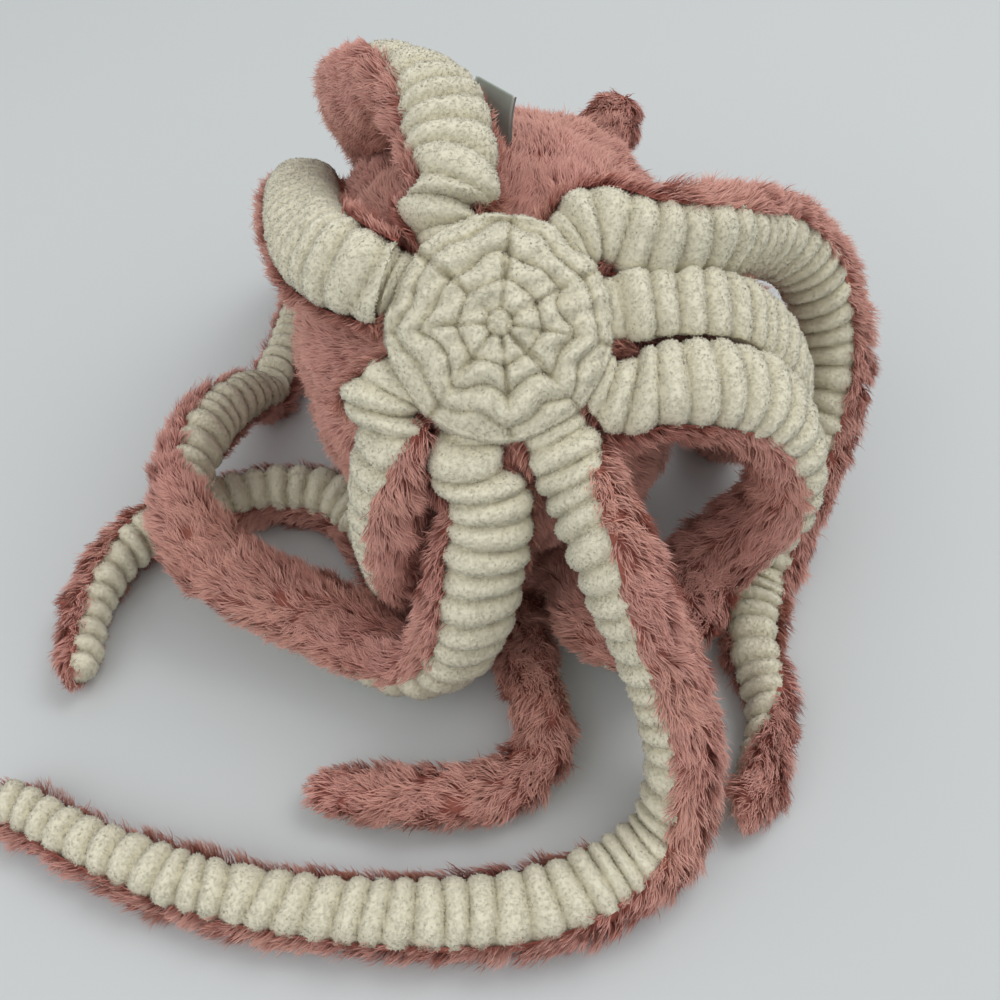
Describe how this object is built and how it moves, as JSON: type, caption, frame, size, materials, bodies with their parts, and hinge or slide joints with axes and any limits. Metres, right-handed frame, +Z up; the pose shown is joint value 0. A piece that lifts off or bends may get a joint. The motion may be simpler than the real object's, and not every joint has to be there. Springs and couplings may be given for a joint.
{
  "type": "plush octopus",
  "caption": "Stuffed soft toy octopus in long pink fur with ribbed cream undersides, lying on its head with its arms draped around it.",
  "frame": {"origin": "middle of the flat that the weight of the stuffed head presses into its underside", "axes": "+Z up from the table; -Y to the front, where the mouth disk tilts towards; +X to the right seen from the front"},
  "size_m": [0.3149, 0.4174, 0.181],
  "materials": {
    "fur": "long dusty pink pile",
    "cord": "cream ribbed cord with a soft nap",
    "fibre": "loose polyester fibre",
    "label": "plain woven tape, folded, bare",
    "bead": "polished"
  },
  "bodies": {
    "octopus": {"head_cover": "fur", "head_stuffing": "fibre", "mouth_disk": "cord", "side_label": "label", "eye_mound_right": "fur", "eye_mound_left": "fur", "eye_right": "bead", "eye_left": "bead", "arm_1_root_fur": "fur", "arm_1_root_belly": "cord", "arm_1_middle_fur": "fur", "arm_1_middle_belly": "cord", "arm_2_root_fur": "fur", "arm_2_root_belly": "cord", "arm_2_middle_fur": "fur", "arm_2_middle_belly": "cord", "arm_3_root_fur": "fur", "arm_3_root_belly": "cord", "arm_3_middle_fur": "fur", "arm_3_middle_belly": "cord", "arm_4_root_fur": "fur", "arm_4_root_belly": "cord", "arm_4_middle_fur": "fur", "arm_4_middle_belly": "cord", "arm_5_root_fur": "fur", "arm_5_root_belly": "cord", "arm_5_middle_fur": "fur", "arm_5_middle_belly": "cord", "arm_6_root_fur": "fur", "arm_6_root_belly": "cord", "arm_6_middle_fur": "fur", "arm_6_middle_belly": "cord", "arm_7_root_fur": "fur", "arm_7_root_belly": "cord", "arm_7_middle_fur": "fur", "arm_7_middle_belly": "cord", "arm_8_root_fur": "fur", "arm_8_root_belly": "cord", "arm_8_middle_fur": "fur", "arm_8_middle_belly": "cord"},
    "arm_1_tip": {"arm_1_tip_fur": "fur", "arm_1_tip_belly": "cord"},
    "arm_2_tip": {"arm_2_tip_fur": "fur", "arm_2_tip_belly": "cord"},
    "arm_3_tip": {"arm_3_tip_fur": "fur", "arm_3_tip_belly": "cord"},
    "arm_4_tip": {"arm_4_tip_fur": "fur", "arm_4_tip_belly": "cord"},
    "arm_5_tip": {"arm_5_tip_fur": "fur", "arm_5_tip_belly": "cord"},
    "arm_6_tip": {"arm_6_tip_fur": "fur", "arm_6_tip_belly": "cord"},
    "arm_7_tip": {"arm_7_tip_fur": "fur", "arm_7_tip_belly": "cord"},
    "arm_8_tip": {"arm_8_tip_fur": "fur", "arm_8_tip_belly": "cord"}
  },
  "joints": [
    {"name": "arm_1_bend", "type": "hinge", "parent": "octopus", "child": "arm_1_tip", "pos_m": [-0.0018, 0.1547, 0.0092], "axis": [0.071, -0.003, 0.9975], "range_deg": [-20, 8]},
    {"name": "arm_2_bend", "type": "hinge", "parent": "octopus", "child": "arm_2_tip", "pos_m": [0.0942, -0.0974, 0.0094], "axis": [0.024, 0.041, 0.9989], "range_deg": [-5, 25]},
    {"name": "arm_3_bend", "type": "hinge", "parent": "octopus", "child": "arm_3_tip", "pos_m": [0.0994, 0.0757, 0.01], "axis": [0.007, -0.001, 1], "range_deg": [-25, 5]},
    {"name": "arm_4_bend", "type": "hinge", "parent": "octopus", "child": "arm_4_tip", "pos_m": [-0.0087, -0.1614, 0.0089], "axis": [-0.006, 0.03, -0.9995], "range_deg": [-10, 20]},
    {"name": "arm_5_bend", "type": "hinge", "parent": "octopus", "child": "arm_5_tip", "pos_m": [-0.0293, -0.203, 0.0105], "axis": [0, -0.012, 0.9999], "range_deg": [-10, 25]},
    {"name": "arm_6_bend", "type": "hinge", "parent": "octopus", "child": "arm_6_tip", "pos_m": [-0.1, 0.0588, 0.0088], "axis": [0.002, 0.032, 0.9995], "range_deg": [-25, 25]},
    {"name": "arm_7_bend", "type": "hinge", "parent": "octopus", "child": "arm_7_tip", "pos_m": [-0.1125, -0.0345, 0.0101], "axis": [0.008, -0.032, 0.9995], "range_deg": [-15, 15]},
    {"name": "arm_8_bend", "type": "hinge", "parent": "octopus", "child": "arm_8_tip", "pos_m": [-0.0365, 0.1818, 0.0092], "axis": [-0.018, -0.013, 0.9998], "range_deg": [-8, 25]}
  ]
}
